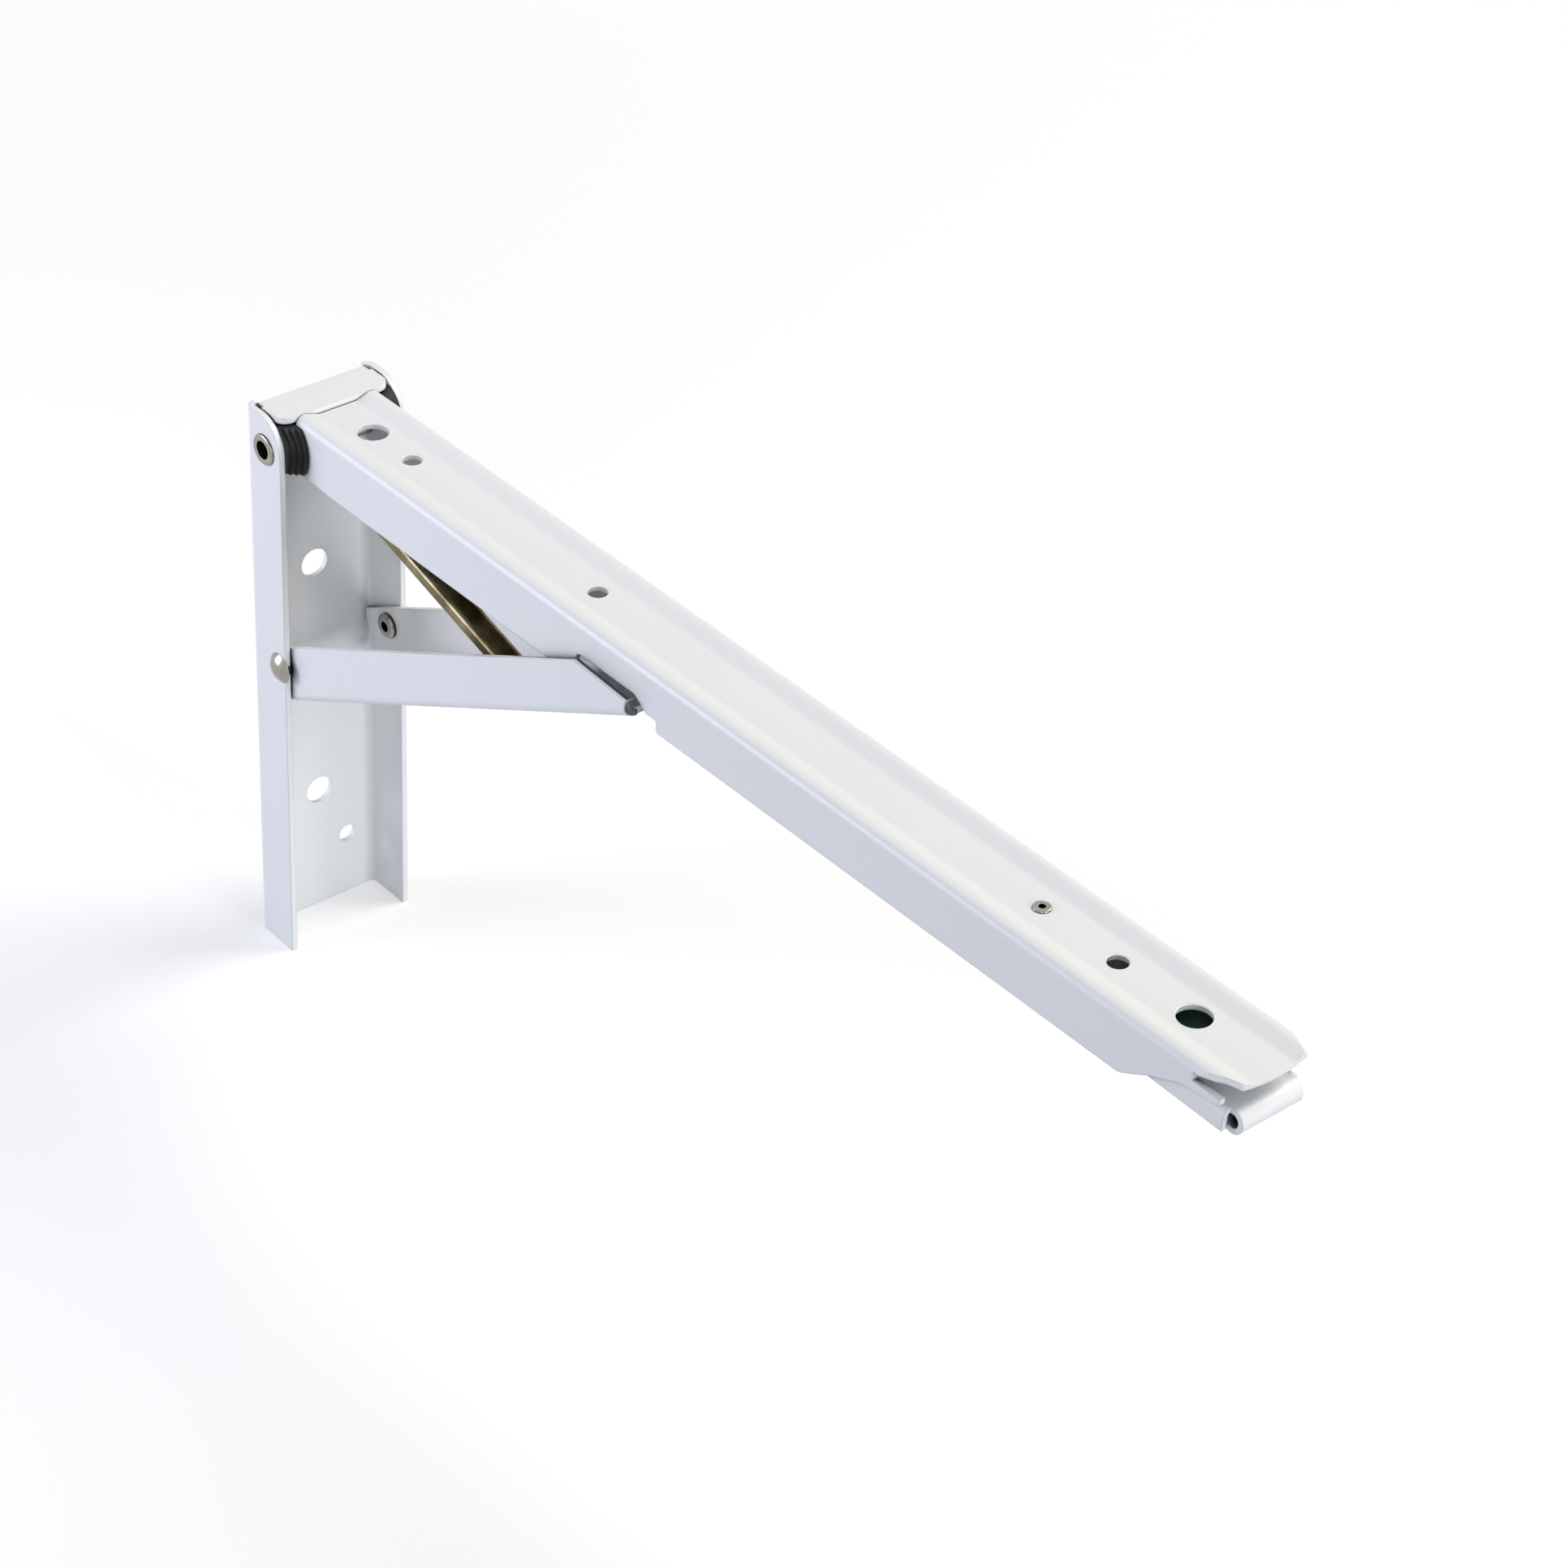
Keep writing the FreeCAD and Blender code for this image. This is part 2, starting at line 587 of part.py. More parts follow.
def make_lever_pad():
    """A thin buffer pad on the lever, under the arm's outer large hole."""
    top = lever_pivot_drop - lever_web_drop + seat_gap
    start = lever_pivot_from_tip - big_hole_from_tip - pad_length / 2 - pad_back
    half = pad_width / 2
    corners = [FreeCAD.Vector(start, -half, top), FreeCAD.Vector(start + pad_length, -half, top),
               FreeCAD.Vector(start + pad_length, half, top), FreeCAD.Vector(start, half, top)]
    pad = rounded_face(corners, [pad_corner] * 4).extrude(along_z * pad_thickness)
    pad.rotate(FreeCAD.Vector(0, 0, 0), along_y, lever_tilt)
    return pad.translated(lever_pivot)


def make_lever_bracket():
    """A small clevis under the arm's top that carries the lever's pin."""
    half = bracket_width / 2
    bottom = -lever_pivot_drop - bracket_below_pin
    points = [FreeCAD.Vector(0, half, bottom), FreeCAD.Vector(0, half, -floor_under),
              FreeCAD.Vector(0, -half, -floor_under), FreeCAD.Vector(0, -half, bottom)]
    section = sheet_face(points, [1.5 * bracket_sheet, 1.5 * bracket_sheet], bracket_sheet, along_x)
    start = lever_pivot_x - bracket_length / 2
    bracket = section.translated(along_x * start).extrude(along_x * bracket_length)
    top = FreeCAD.Vector(lever_pivot_x, 0, -floor_under)
    bracket = bracket.cut(drill(eyelet_outer + 2 * seat_gap, top, along_z, 4 * bracket_sheet))
    return bracket.cut(rod(lever_pin + 2 * seat_gap, lever_pivot, -arm_width, arm_width))


def make_lever_eyelet():
    """The hollow rivet that clamps the bracket under the arm's top."""
    top = FreeCAD.Vector(lever_pivot_x, 0, -top_recess)
    bottom = FreeCAD.Vector(lever_pivot_x, 0, -floor_under - bracket_sheet)
    eyelet = Part.makeCylinder(eyelet_outer / 2, top.z - bottom.z, bottom, along_z)
    for seat, direction in ((top, 1), (bottom, -1)):
        lip = Part.makeCylinder(eyelet_lip / 2, eyelet_lip_height, seat, along_z * direction)
        level = seat.z + direction * eyelet_lip_height
        rim = [edge for edge in lip.Edges if edge.Closed and abs(edge.CenterOfMass.z - level) < 0.01]
        eyelet = eyelet.fuse(lip.makeFillet(eyelet_lip_height * 0.8, rim))
    return eyelet.cut(drill(eyelet_bore, top, along_z, 8 * sheet)).removeSplitter()


def make_lever_spring():
    """The small coil spring that holds the lever's lip down."""
    lever_top = -lever_web_drop - spring_ahead * math.sin(math.radians(lever_tilt))
    height = lever_top + floor_under
    rise = -height - spring_wire - 6 * seat_gap
    pitch = rise / spring_turns
    helix = Part.makeHelix(pitch, rise, spring_radius)
    start = FreeCAD.Vector(spring_radius, 0, 0)
    ring = Part.Wire(Part.makeCircle(spring_wire / 2, start, along_y))
    coil = Part.Wire(helix.Edges).makePipeShell([ring], True, True)
    bottom = lever_top + spring_wire / 2 + 4 * seat_gap
    return coil.translated(FreeCAD.Vector(lever_pivot_x + spring_ahead, 0, bottom))


os.makedirs("parts", exist_ok=True)
pieces = {
    "wall_plate": make_wall_plate(),
    "hinge_pin": make_hinge_pin(),
    "support_arm": make_support_arm(),
    "brace": make_brace(),
    "stay_link": make_stay_link(),
    "link_collar_near": make_link_collar(-arm_inner + spacer_gap, link_near - spacer_gap),
    "link_collar_far": make_link_collar(link_far + spacer_gap, arm_inner - spacer_gap),
    "release_lever": make_release_lever(),
    "lever_pad": make_lever_pad(),
    "lever_bracket": make_lever_bracket(),
    "lever_pin": rod(lever_pin, lever_pivot, -lever_half, lever_half),
    "lever_eyelet": make_lever_eyelet(),
    "lever_spring": make_lever_spring(),
}
for side, name in ((-1, "near"), (1, "far")):
    pieces["hinge_spacer_" + name] = make_hinge_spacer(side)
    pieces["brace_rivet_" + name] = make_brace_rivet(side)

for name, shape in pieces.items():
    print(name, len(shape.Solids), shape.isValid(), round(shape.Volume, 1))
    shape.translated(along_z * origin_drop).exportStep("parts/" + name + ".step")
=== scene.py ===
# %% [markdown]
# # A white drop leaf bracket
# The bracket carries a hinged table leaf. A wall plate, an arm and a brace are folded from sheet steel and
# powder coated. A release lever under the arm's tip frees the brace, so that the arm can fold down.
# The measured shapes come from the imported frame. This lesson gives them their finishes, adds the small
# parts that repeat, and sets the light and the camera.

# %% Load the frame
import bpy
import json
import math
from mathutils import Matrix, Vector


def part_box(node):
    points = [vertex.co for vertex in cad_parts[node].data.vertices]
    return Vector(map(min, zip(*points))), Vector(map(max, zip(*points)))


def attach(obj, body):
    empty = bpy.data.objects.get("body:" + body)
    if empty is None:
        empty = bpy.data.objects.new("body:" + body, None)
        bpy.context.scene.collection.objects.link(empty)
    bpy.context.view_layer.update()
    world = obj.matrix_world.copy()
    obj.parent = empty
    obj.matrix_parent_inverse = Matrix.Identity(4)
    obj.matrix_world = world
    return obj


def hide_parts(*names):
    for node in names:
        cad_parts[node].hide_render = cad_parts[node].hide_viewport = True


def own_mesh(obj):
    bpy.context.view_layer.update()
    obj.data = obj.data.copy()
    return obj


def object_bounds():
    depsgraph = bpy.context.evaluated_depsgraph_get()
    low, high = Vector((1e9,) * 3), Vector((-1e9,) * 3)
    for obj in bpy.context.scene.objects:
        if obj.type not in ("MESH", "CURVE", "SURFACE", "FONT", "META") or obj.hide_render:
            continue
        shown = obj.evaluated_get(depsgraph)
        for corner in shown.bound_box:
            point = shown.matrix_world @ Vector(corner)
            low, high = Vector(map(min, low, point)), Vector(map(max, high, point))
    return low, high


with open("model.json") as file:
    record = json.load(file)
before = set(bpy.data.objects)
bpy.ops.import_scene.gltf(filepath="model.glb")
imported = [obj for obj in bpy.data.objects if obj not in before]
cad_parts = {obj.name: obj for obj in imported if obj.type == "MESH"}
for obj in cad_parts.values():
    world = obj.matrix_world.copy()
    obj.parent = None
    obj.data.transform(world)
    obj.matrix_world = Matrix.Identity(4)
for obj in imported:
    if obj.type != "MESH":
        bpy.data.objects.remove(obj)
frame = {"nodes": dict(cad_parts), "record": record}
cad_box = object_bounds()
nodes = frame["nodes"]
mm = 0.001
print("pieces in the frame:", sorted(nodes))

# %% [markdown]
# ## Three small helpers
# Each finish is a graph of shader nodes. One function adds a node, sets its properties and links or fills
# its inputs, so that a graph reads from top to bottom. Colours are written as they look on a screen, in
# sRGB hex, and a second function turns them into the linear values that shaders work with. A third starts
# an empty finish.

# %% Helpers for node graphs and colours
def add(tree, kind, inputs=None, **settings):
    node = tree.nodes.new(kind)
    for name, value in settings.items():
        setattr(node, name, value)
    for socket, value in (inputs or {}).items():
        if isinstance(value, bpy.types.NodeSocket):
            tree.links.new(value, node.inputs[socket])
        else:
            node.inputs[socket].default_value = value
    return node


def srgb(hex_code):
    channels = [int(hex_code[i:i + 2], 16) / 255 for i in (1, 3, 5)]
    return [c / 12.92 if c <= 0.04045 else ((c + 0.055) / 1.055) ** 2.4 for c in channels] + [1.0]


def new_finish(name):
    material = bpy.data.materials.new(name)
    material.use_nodes = True
    material.node_tree.nodes.clear()
    return material, material.node_tree


print("the coat's white is", [round(c, 3) for c in srgb("#E9EAEA")])

# %% [markdown]
# ## White powder coat
# The three big sheets and the lever are sprayed with dry polyester powder and baked. The film is about
# 0.08 mm thick, satin, with a faint orange peel about 1 mm across. It rounds every cut edge a little and is
# thinnest there, so edges catch the light and look a touch greyer. A Bevel modifier could round them, but
# the sheets are measured and stay as they are. A bevelled normal gives the rounding instead, and its
# difference from the flat normal marks the edges.

# %% Edges of the film
film_rounding = 0.45 * mm


def film_edges(tree):
    flat = add(tree, "ShaderNodeNewGeometry").outputs["Normal"]
    rounded = add(tree, "ShaderNodeBevel", {"Radius": film_rounding}, samples=6).outputs["Normal"]
    likeness = add(tree, "ShaderNodeVectorMath", {0: flat, 1: rounded}, operation="DOT_PRODUCT")
    edge = add(tree, "ShaderNodeMapRange", {"Value": likeness.outputs["Value"],
                                            "From Min": 0.98, "From Max": 0.75})
    return rounded, edge.outputs["Result"]


print("edges are rounded by", film_rounding / mm, "mm")

# %% [markdown]
# The brace has two patches of painted shade. Its end, which drops into the arm's notch and lies in the arm's
# shade there, is painted dark. Further back, the upper face of its web, which lies under the arm, is painted
# dark as shade. Painted masks could hold both marks, but each is a matter of how far a point is from the
# wall and which way it faces, so they are read from its position and normal, and stay in place if the brace
# changes.

# %% Painted shade on the brace
sheet = 1.4 * mm
brace_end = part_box("brace")[1][0]
shaded_end_from = brace_end - 1.7 * mm
end_shade_fade = 0.5 * mm
covered_from = brace_end - 45 * mm
under_arm_shade_fade = 8 * mm
flange_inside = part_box("brace")[1][1] - sheet - 0.1 * mm


def brace_painted_shade(tree, texture, film, dark):
    at = add(tree, "ShaderNodeSeparateXYZ", {"Vector": texture.outputs["Object"]}).outputs
    facing = add(tree, "ShaderNodeSeparateXYZ", {"Vector": texture.outputs["Normal"]}).outputs
    covered = add(tree, "ShaderNodeMapRange", {"Value": at["X"], "From Min": covered_from,
                                               "From Max": covered_from + under_arm_shade_fade}).outputs["Result"]
    aside = add(tree, "ShaderNodeMath", {0: at["Y"]}, operation="ABSOLUTE").outputs[0]
    between = add(tree, "ShaderNodeMath", {0: aside, 1: flange_inside}, operation="LESS_THAN").outputs[0]
    upward = add(tree, "ShaderNodeMath", {0: facing["Z"], 1: 0.5}, operation="GREATER_THAN").outputs[0]
    for mask in (between, upward):
        covered = add(tree, "ShaderNodeMath", {0: covered, 1: mask}, operation="MULTIPLY").outputs[0]
    # Painted shade: the web's upper face under the arm is darkened.
    dark = add(tree, "ShaderNodeMath", {0: dark, 1: covered}, operation="MAXIMUM").outputs[0]
    # Painted shade: the end that lies in the arm's notch is mixed towards dark grey.
    end_shade = add(tree, "ShaderNodeMapRange", {"Value": at["X"], "From Min": shaded_end_from,
                                            "From Max": shaded_end_from + end_shade_fade, "To Max": 0.95})
    end_shaded = add(tree, "ShaderNodeMix", {0: end_shade.outputs["Result"], 6: film, 7: srgb("#33373E")},
                 data_type="RGBA")
    return end_shaded.outputs[2], dark


# This gives where the painted shade at the brace's end begins.
print("the brace is worn from", round(shaded_end_from / mm, 1), "mm off the wall")

# %% [markdown]
# The coat is painted dark where shade gathers: at the bottom of tight curls, in holes, and where the arm and
# the brace cover each other. This is painted shade. An occlusion node finds these places, so one function
# makes each coat. Its occlusion looks at the piece alone for the plain coat, and at the neighbours too for
# the arm and the brace.

# %% Powder coat
drift_size = 40 * mm
peel_size = 1.3 * mm
shade_reach = 8 * mm


def powder_coat(name, unshaded_above, dark_below, shaded_by_neighbours=False, on_brace=False):
    material, tree = new_finish(name)
    texture = add(tree, "ShaderNodeTexCoord")
    place = texture.outputs["Object"]
    rounded, edge = film_edges(tree)
    # The film's thickness drifts slowly, and its peel is drawn a little coarser than life.
    drift = add(tree, "ShaderNodeTexNoise", {"Vector": place, "Scale": 1 / drift_size, "Detail": 3.0})
    peel = add(tree, "ShaderNodeTexNoise", {"Vector": place, "Scale": 1 / peel_size,
                                            "Detail": 2.0}).outputs["Fac"]
    body = add(tree, "ShaderNodeMix", {0: drift.outputs["Fac"], 6: srgb("#E9EAEA"), 7: srgb("#E4E6E7")},
               data_type="RGBA")
    rim = add(tree, "ShaderNodeMix", {0: edge, 6: body.outputs[2], 7: srgb("#D9DDE0")}, data_type="RGBA")
    film = rim.outputs[2]
    # Painted shade: the colour is mixed towards near black where the occlusion node finds a hollow or a near
    # neighbour.
    reach = add(tree, "ShaderNodeAmbientOcclusion", {"Distance": shade_reach}, samples=8,
                only_local=not shaded_by_neighbours)
    dark = add(tree, "ShaderNodeMapRange", {"Value": reach.outputs["AO"], "From Min": unshaded_above,
                                            "From Max": dark_below}).outputs["Result"]
    if on_brace:
        film, dark = brace_painted_shade(tree, texture, film, dark)
    tone = add(tree, "ShaderNodeMix", {0: dark, 6: film, 7: srgb("#0C1014")}, data_type="RGBA")
    gloss = add(tree, "ShaderNodeMapRange", {"Value": peel, "To Min": 0.28, "To Max": 0.38})
    skin = add(tree, "ShaderNodeBump", {"Height": peel, "Normal": rounded,
                                        "Strength": 0.03, "Distance": 0.1 * mm})
    coat = add(tree, "ShaderNodeBsdfPrincipled", {"Base Color": tone.outputs[2], "IOR": 1.5,
                                                  "Roughness": gloss.outputs["Result"],
                                                  "Normal": skin.outputs["Normal"]})
    add(tree, "ShaderNodeOutputMaterial", {"Surface": coat.outputs["BSDF"]})
    print(name, "has", len(tree.nodes), "nodes")
    return material


self_shaded_coat = powder_coat("white_polyester_powder_coat", unshaded_above=0.48, dark_below=0.2)
neighbour_shaded_coat = powder_coat("white_powder_coat_with_neighbour_shade", unshaded_above=0.55, dark_below=0.2, shaded_by_neighbours=True)
latch_coat = powder_coat("white_powder_coat_with_painted_shade_at_end", unshaded_above=0.6, dark_below=0.25,
                         shaded_by_neighbours=True, on_brace=True)

# %% [markdown]
# ## Bright zinc plate
# The hollow hinge rivet, the brace rivets and the eyelet are turned or drawn steel with bright zinc plate.
# It mirrors the studio, slightly blurred. One even gloss would look like chrome, so noise makes a few
# duller clouds, and noise that is squeezed along the axis makes fine drawing lines round it.

# %% Bright plated steel
cloud_size = 2 * mm
line_size = 2.5 * mm
corner_reach = 2.5 * mm
bright_zinc, tree = new_finish("bright_zinc_plated_steel")
place = add(tree, "ShaderNodeTexCoord").outputs["Object"]
rounded = add(tree, "ShaderNodeBevel", {"Radius": 0.15 * mm}, samples=6).outputs["Normal"]
clouds = add(tree, "ShaderNodeTexNoise", {"Vector": place, "Scale": 1 / cloud_size,
                                          "Detail": 4.0}).outputs["Fac"]
squeezed = add(tree, "ShaderNodeMapping", {"Vector": place, "Scale": (1.0, 12.0, 1.0)}).outputs["Vector"]
lines = add(tree, "ShaderNodeTexNoise", {"Vector": squeezed, "Scale": 1 / line_size, "Detail": 3.0})
tone = add(tree, "ShaderNodeMix", {0: clouds, 6: srgb("#B4B0A8"), 7: srgb("#827F79")}, data_type="RGBA")
# The corner round each head is painted dark as shade, which makes it look ringed.
corner = add(tree, "ShaderNodeAmbientOcclusion", {"Distance": corner_reach}, samples=8).outputs["AO"]
corner_shade = add(tree, "ShaderNodeMapRange", {"Value": corner, "From Min": 0.9, "From Max": 0.5})
tone = add(tree, "ShaderNodeMix", {0: corner_shade.outputs["Result"], 6: tone.outputs[2], 7: srgb("#161617")},
           data_type="RGBA")
gloss = add(tree, "ShaderNodeMapRange", {"Value": clouds, "To Min": 0.16, "To Max": 0.34})
skin = add(tree, "ShaderNodeBump", {"Height": lines.outputs["Fac"], "Normal": rounded,
                                    "Strength": 0.12, "Distance": 0.03 * mm})
metal = add(tree, "ShaderNodeBsdfPrincipled", {"Base Color": tone.outputs[2], "Metallic": 1.0,
                                               "Roughness": gloss.outputs["Result"],
                                               "Normal": skin.outputs["Normal"]})
add(tree, "ShaderNodeOutputMaterial", {"Surface": metal.outputs["BSDF"]})
print("bright zinc nodes:", len(tree.nodes))

# %% [markdown]
# ## Yellow zinc plate
# The stay link and the lever's bracket are zinc plated and dipped in a yellow passivate. The thin film
# shifts between straw, olive and pale pink in patches a few millimetres wide, and rolling leaves long
# streaks along the link. A colour ramp over noise gives such patches at any size, with no seam.

# %% Yellow passivated steel
patch_size = 6 * mm
streak_width = 0.7 * mm
channel_shade_reach = 4 * mm
link_slope = 0.28
yellow_zinc, tree = new_finish("yellow_passivated_zinc")
place = add(tree, "ShaderNodeTexCoord").outputs["Object"]
rounded = add(tree, "ShaderNodeBevel", {"Radius": 0.25 * mm}, samples=6).outputs["Normal"]
patches = add(tree, "ShaderNodeTexNoise", {"Vector": place, "Scale": 1 / patch_size, "Detail": 4.0})
film = add(tree, "ShaderNodeValToRGB", {"Fac": patches.outputs["Fac"]})
film.color_ramp.elements[0].position = 0.3
film.color_ramp.elements[0].color = srgb("#5C543D")
film.color_ramp.elements[1].position = 0.72
film.color_ramp.elements[1].color = srgb("#9C937C")
film.color_ramp.elements.new(0.5).color = srgb("#766D52")
along = add(tree, "ShaderNodeMapping", {"Vector": place, "Rotation": (0, link_slope, 0),
                                        "Scale": (0.1, 1.0, 1.0)}).outputs["Vector"]
streaks = add(tree, "ShaderNodeTexNoise", {"Vector": along, "Scale": 1 / streak_width,
                                           "Detail": 2.0}).outputs["Fac"]
gloss = add(tree, "ShaderNodeMapRange", {"Value": streaks, "To Min": 0.24, "To Max": 0.42})
# The inside of the narrow channel is painted dark brown as shade.
depth = add(tree, "ShaderNodeAmbientOcclusion", {"Distance": channel_shade_reach}, samples=8).outputs["AO"]
channel_shade = add(tree, "ShaderNodeMapRange", {"Value": depth, "From Min": 0.62, "From Max": 0.2})
tone = add(tree, "ShaderNodeMix", {0: channel_shade.outputs["Result"], 6: film.outputs["Color"], 7: srgb("#1E1A12")},
           data_type="RGBA")
skin = add(tree, "ShaderNodeBump", {"Height": streaks, "Normal": rounded,
                                    "Strength": 0.15, "Distance": 0.05 * mm})
metal = add(tree, "ShaderNodeBsdfPrincipled", {"Base Color": tone.outputs[2], "Metallic": 1.0,
                                               "Roughness": gloss.outputs["Result"],
                                               "Normal": skin.outputs["Normal"]})
add(tree, "ShaderNodeOutputMaterial", {"Surface": metal.outputs["BSDF"]})
print("yellow zinc nodes:", len(tree.nodes))

# %% [markdown]
# ## Black nylon
# The spacers beside the hinge are moulded in black nylon. Their black also stands in for the shade in the
# dark gap beside the hinge, so it is partly painted shade. It is matt, with a fine spark-eroded grain from
# the mould, and the grain is paler where it has been rubbed. The grain is far too fine to model, so one
# noise drives its tone, its gloss and a bump.

# %% Moulded nylon
grain_size = 0.4 * mm
black_nylon, tree = new_finish("moulded_black_nylon")
place = add(tree, "ShaderNodeTexCoord").outputs["Object"]
rounded = add(tree, "ShaderNodeBevel", {"Radius": 0.3 * mm}, samples=6).outputs["Normal"]
grain = add(tree, "ShaderNodeTexNoise", {"Vector": place, "Scale": 1 / grain_size,
                                         "Detail": 2.0}).outputs["Fac"]
# The near-black tone is the nylon's own and also painted shade for the gap beside the hinge.
tone = add(tree, "ShaderNodeMix", {0: grain, 6: srgb("#060808"), 7: srgb("#171C1A")}, data_type="RGBA")
gloss = add(tree, "ShaderNodeMapRange", {"Value": grain, "To Min": 0.42, "To Max": 0.6})
skin = add(tree, "ShaderNodeBump", {"Height": grain, "Normal": rounded,
                                    "Strength": 0.3, "Distance": 0.05 * mm})
nylon = add(tree, "ShaderNodeBsdfPrincipled", {"Base Color": tone.outputs[2], "IOR": 1.53,
                                               "Specular IOR Level": 0.3,
                                               "Roughness": gloss.outputs["Result"],
                                               "Normal": skin.outputs["Normal"]})
add(tree, "ShaderNodeOutputMaterial", {"Surface": nylon.outputs["BSDF"]})
print("nylon nodes:", len(tree.nodes))

# %% [markdown]
# ## Dark rubber
# A thin rubber pad on the lever fills the arm's outer hole with a dark green-black disc. The disc's dark
# green is painted shade: it stands in for the shade inside the hole. Rubber is matt and even, with a dusty
# bloom in places. The bloom is a soft noise between two greens.

# %% Buffer pad rubber, painted as shade
bloom_size = 3 * mm
dark_rubber, tree = new_finish("dark_rubber_pad_as_painted_shade")
place = add(tree, "ShaderNodeTexCoord").outputs["Object"]
bloom = add(tree, "ShaderNodeTexNoise", {"Vector": place, "Scale": 1 / bloom_size,
                                         "Detail": 4.0}).outputs["Fac"]
# Painted shade: two dark greens stand in for the shade inside the hole.
tone = add(tree, "ShaderNodeMix", {0: bloom, 6: srgb("#16302B"), 7: srgb("#3B5E55")}, data_type="RGBA")
skin = add(tree, "ShaderNodeBump", {"Height": bloom, "Strength": 0.2, "Distance": 0.05 * mm})
rubber = add(tree, "ShaderNodeBsdfPrincipled", {"Base Color": tone.outputs[2], "IOR": 1.52, "Roughness": 0.7,
                                                "Normal": skin.outputs["Normal"]})
add(tree, "ShaderNodeOutputMaterial", {"Surface": rubber.outputs["BSDF"]})
print("rubber nodes:", len(tree.nodes))

# %% [markdown]
# ## Spring wire
# The return spring is coiled from patented steel wire. Drawing leaves it grey and dull bright, with a
# trace of brown oil between the turns. One noise stands for the oil, in the tone and in the gloss.

# %% Drawn spring wire
oil_size = 1.5 * mm
spring_wire, tree = new_finish("drawn_spring_wire")
place = add(tree, "ShaderNodeTexCoord").outputs["Object"]
oil = add(tree, "ShaderNodeTexNoise", {"Vector": place, "Scale": 1 / oil_size, "Detail": 3.0}).outputs["Fac"]
tone = add(tree, "ShaderNodeMix", {0: oil, 6: srgb("#9B9C9E"), 7: srgb("#6E6A63")}, data_type="RGBA")
gloss = add(tree, "ShaderNodeMapRange", {"Value": oil, "To Min": 0.25, "To Max": 0.45})
wire = add(tree, "ShaderNodeBsdfPrincipled", {"Base Color": tone.outputs[2], "Metallic": 1.0,
                                              "Roughness": gloss.outputs["Result"]})
add(tree, "ShaderNodeOutputMaterial", {"Surface": wire.outputs["BSDF"]})
print("spring wire nodes:", len(tree.nodes))

# %% [markdown]
# ## Dress the measured pieces
# The record names a finish slot for each piece. Finishes could be given piece by piece, but by slot no piece
# is missed. Then the arm and the brace take their own versions of the coat, with painted shade where they
# cover each other.

# %% Assign finishes
finishes = {"white_powder_coat": self_shaded_coat, "plated_steel": bright_zinc, "yellow_zinc": yellow_zinc,
            "black_nylon": black_nylon, "dark_rubber": dark_rubber, "spring_steel": spring_wire}
for piece in frame["record"]["subparts"]:
    mesh = nodes[piece["node"]].data
    mesh.materials.clear()
    mesh.materials.append(finishes[piece["material_slot"]])
    print(piece["node"], "is", piece["material_slot"])
nodes["support_arm"].data.materials[0] = neighbour_shaded_coat
nodes["brace"].data.materials[0] = latch_coat

# %% [markdown]
# ## Coated hole rims
# A punched hole has a sharp lip, and the baked powder draws back from it and leaves a soft bead. Torus
# objects could be placed one by one, but the beads repeat at every screw hole, so a node tree makes them:
# a circle stands on each hole's centre, scaled by the hole's radius, and a small round section is swept
# along it.

# %% The rim tree
def shape_tree(name, sizes):
    tree = bpy.data.node_groups.new(name, "GeometryNodeTree")
    tree.interface.new_socket(name="Geometry", in_out="INPUT", socket_type="NodeSocketGeometry")
    sockets = {}
    for size in sizes:
        socket = tree.interface.new_socket(name=size, in_out="INPUT", socket_type="NodeSocketFloat")
        sockets[size] = socket.identifier
    tree.interface.new_socket(name="Geometry", in_out="OUTPUT", socket_type="NodeSocketGeometry")
    return tree, add(tree, "NodeGroupInput").outputs, sockets


rim_tree, given, rim_sockets = shape_tree("hole_rims", ["Bead radius", "Tilt"])
centres = add(rim_tree, "GeometryNodeMeshToPoints", {"Mesh": given["Geometry"]})
hole = add(rim_tree, "GeometryNodeInputNamedAttribute", {"Name": "hole_radius"}, data_type="FLOAT")
turn = add(rim_tree, "ShaderNodeCombineXYZ", {"Y": given["Tilt"]})
lean = add(rim_tree, "FunctionNodeEulerToRotation", {"Euler": turn.outputs["Vector"]})
circle = add(rim_tree, "GeometryNodeCurvePrimitiveCircle", {"Resolution": 64, "Radius": 1.0})
loops = add(rim_tree, "GeometryNodeInstanceOnPoints", {"Points": centres.outputs["Points"],
                                                       "Instance": circle.outputs["Curve"],
                                                       "Rotation": lean.outputs["Rotation"],
                                                       "Scale": hole.outputs["Attribute"]})
real = add(rim_tree, "GeometryNodeRealizeInstances", {"Geometry": loops.outputs["Instances"]})
section = add(rim_tree, "GeometryNodeCurvePrimitiveCircle", {"Resolution": 12,
                                                             "Radius": given["Bead radius"]})
bead = add(rim_tree, "GeometryNodeCurveToMesh", {"Curve": real.outputs["Geometry"],
                                                 "Profile Curve": section.outputs["Curve"]})
coated = add(rim_tree, "GeometryNodeSetMaterial", {"Geometry": bead.outputs["Mesh"],
                                                   "Material": self_shaded_coat})
add(rim_tree, "NodeGroupOutput", {"Geometry": coated.outputs["Geometry"]})
print("rim tree nodes:", len(rim_tree.nodes))

# %% [markdown]
# A tree becomes a plain mesh before it joins the bracket: the modifier is evaluated, its result is kept as
# the piece's own mesh, and the modifier goes. Then the piece is told which body carries it.

